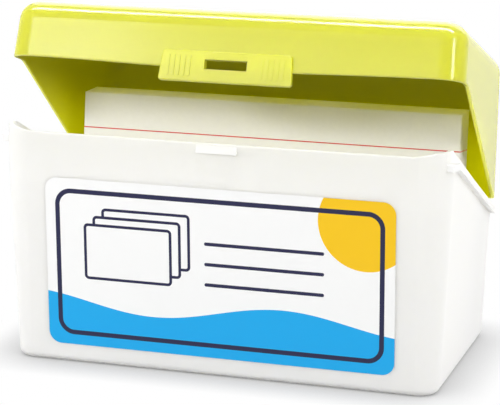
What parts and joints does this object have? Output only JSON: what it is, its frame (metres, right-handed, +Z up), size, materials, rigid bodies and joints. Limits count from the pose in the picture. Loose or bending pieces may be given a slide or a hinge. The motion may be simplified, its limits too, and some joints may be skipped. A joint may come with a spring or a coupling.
{
  "type": "index card box",
  "caption": "Small plastic box for index cards, with a tapered frosted tub, a hinged lid with a latch tab and a file of ruled cards that leans back.",
  "frame": {"origin": "middle of the flat underside of the tub", "axes": "+X along the box to the right, +Y towards the hinge, +Z up"},
  "size_m": [0.146, 0.0906, 0.1117],
  "materials": {
    "tub": "frosted, satin",
    "lid": "translucent, glossy",
    "front_label": "printed film, satin",
    "index_card": "uncoated card"
  },
  "bodies": {
    "tub_body": {"tub": "tub", "front_label": "front_label", "index_card_02": "index_card", "index_card_03": "index_card", "index_card_04": "index_card", "index_card_05": "index_card", "index_card_06": "index_card", "index_card_07": "index_card", "index_card_08": "index_card", "index_card_09": "index_card", "index_card_10": "index_card", "index_card_11": "index_card", "index_card_12": "index_card", "index_card_13": "index_card", "index_card_14": "index_card", "index_card_15": "index_card", "index_card_16": "index_card", "index_card_17": "index_card", "index_card_18": "index_card", "index_card_19": "index_card", "index_card_20": "index_card", "index_card_21": "index_card", "index_card_22": "index_card", "index_card_23": "index_card", "index_card_24": "index_card", "index_card_25": "index_card", "index_card_26": "index_card", "index_card_27": "index_card", "index_card_28": "index_card", "index_card_29": "index_card", "index_card_30": "index_card", "index_card_31": "index_card", "index_card_32": "index_card", "index_card_33": "index_card", "index_card_34": "index_card", "index_card_35": "index_card", "index_card_36": "index_card", "index_card_37": "index_card", "index_card_38": "index_card", "index_card_39": "index_card", "index_card_40": "index_card", "index_card_41": "index_card", "index_card_42": "index_card", "index_card_43": "index_card", "index_card_44": "index_card", "index_card_45": "index_card", "index_card_46": "index_card", "index_card_47": "index_card", "index_card_48": "index_card", "index_card_49": "index_card", "index_card_50": "index_card"},
    "lid_body": {"lid": "lid"},
    "front_card_body": {"index_card_01": "index_card"}
  },
  "joints": [
    {"name": "lid_hinge", "type": "hinge", "parent": "tub_body", "child": "lid_body", "pos_m": [0, 0.04288, 0.0455], "axis": [-1, 0, 0], "range_deg": [-17.36, 87.6]},
    {"name": "front_card_tip", "type": "hinge", "parent": "tub_body", "child": "front_card_body", "pos_m": [0, 0.00275, 0.00203], "axis": [1, 0, 0], "range_deg": [0, 38]}
  ]
}
